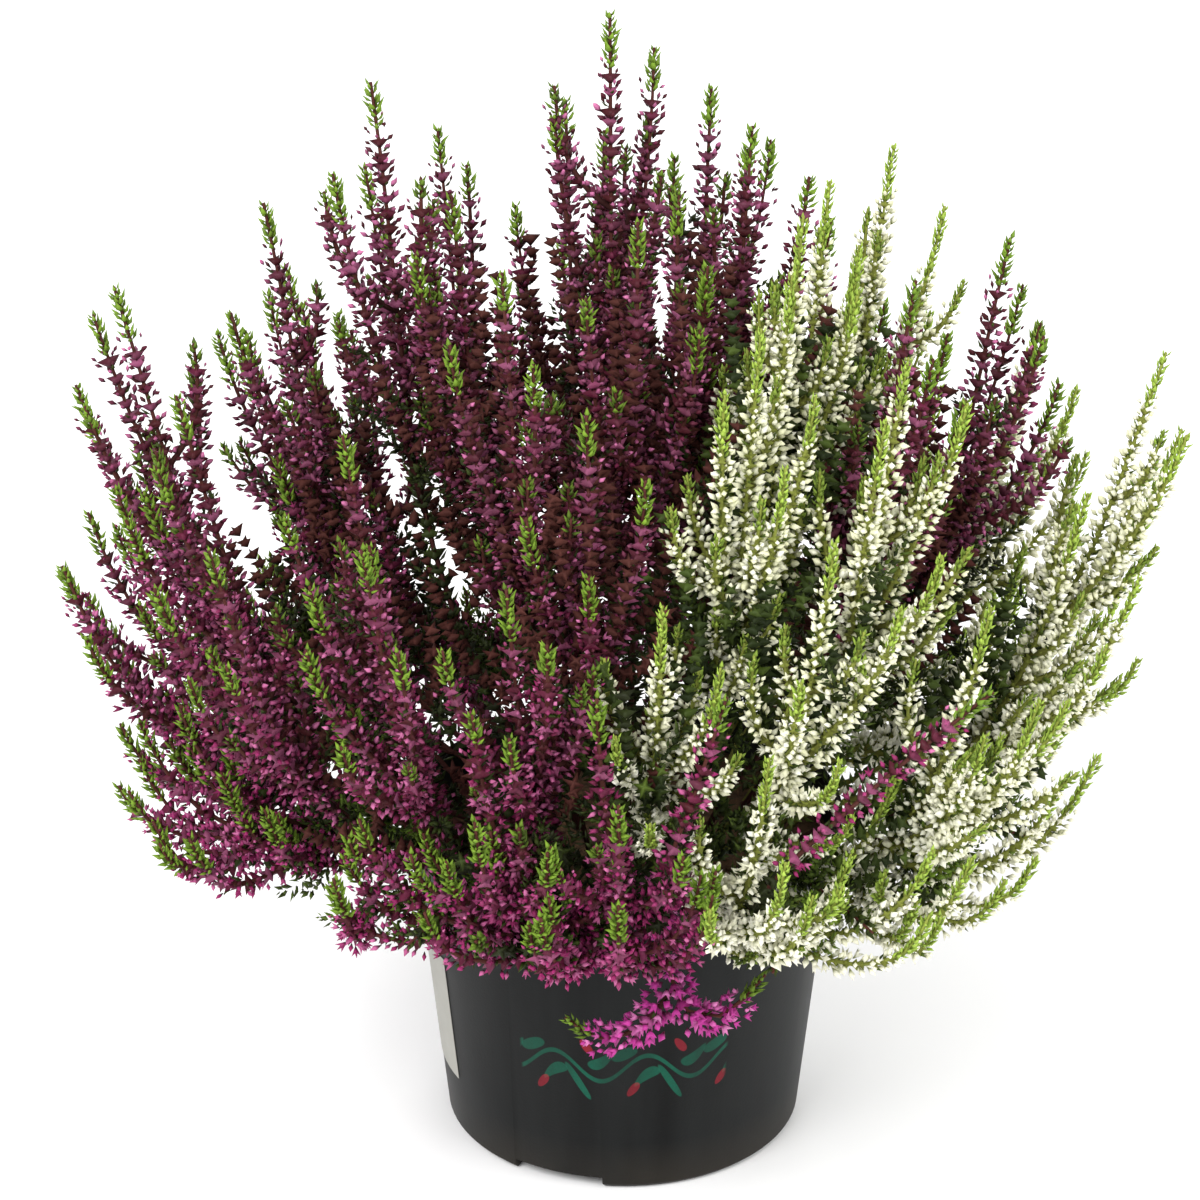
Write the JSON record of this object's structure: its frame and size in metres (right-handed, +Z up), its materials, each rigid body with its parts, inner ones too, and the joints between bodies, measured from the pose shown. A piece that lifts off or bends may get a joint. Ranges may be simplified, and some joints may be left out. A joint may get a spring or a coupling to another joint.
{
  "type": "potted heather",
  "caption": "Bushy potted heather with upright purple and white flower spikes, leafy low shoots and a round black nursery pot.",
  "frame": {"origin": "middle of the pot's foot ring, on the ground", "axes": "+Z up along the pot's axis, -Y to the front of the picture, +X to its right"},
  "size_m": [0.3046, 0.2691, 0.318],
  "materials": {
    "pot": "satin black moulded plastic",
    "peat": "damp crumbly peat",
    "purple": "magenta buds on brown and green stems",
    "white": "cream white buds on yellow green stems",
    "leaf": "small dark green scale leaves"
  },
  "bodies": {
    "root": {"hanging_sprig": "purple", "leafy_shoot_1": "leaf", "leafy_shoot_2": "leaf", "leafy_shoot_3": "leaf", "leafy_shoot_4": "leaf", "leafy_shoot_5": "leaf", "leafy_shoot_6": "leaf", "leafy_shoot_7": "leaf", "leafy_shoot_8": "leaf", "peat": "peat", "pot": "pot", "purple_spray_01": "purple", "purple_spray_02": "purple", "purple_spray_03": "purple", "purple_spray_04": "purple", "purple_spray_05": "purple", "purple_spray_06": "purple", "purple_spray_07": "purple", "purple_spray_08": "purple", "purple_spray_09": "purple", "purple_spray_10": "purple", "purple_spray_11": "purple", "purple_spray_12": "purple", "purple_spray_13": "purple", "purple_spray_14": "purple", "purple_spray_15": "purple", "purple_spray_16": "purple", "purple_spray_17": "purple", "purple_spray_18": "purple", "purple_spray_19": "purple", "purple_spray_20": "purple", "purple_spray_21": "purple", "purple_spray_22": "purple", "purple_spray_23": "purple", "purple_spray_24": "purple", "purple_spray_25": "purple", "purple_spray_26": "purple", "purple_spray_27": "purple", "purple_spray_28": "purple", "purple_spray_29": "purple", "purple_spray_30": "purple", "purple_spray_31": "purple", "purple_spray_32": "purple", "purple_spray_33": "purple", "purple_spray_34": "purple", "white_spray_01": "white", "white_spray_02": "white", "white_spray_03": "white", "white_spray_04": "white", "white_spray_05": "white", "white_spray_06": "white", "white_spray_07": "white", "white_spray_08": "white", "white_spray_09": "white", "white_spray_10": "white", "white_spray_11": "white", "white_spray_12": "white", "white_spray_13": "white", "white_spray_14": "white"}
  },
  "joints": []
}
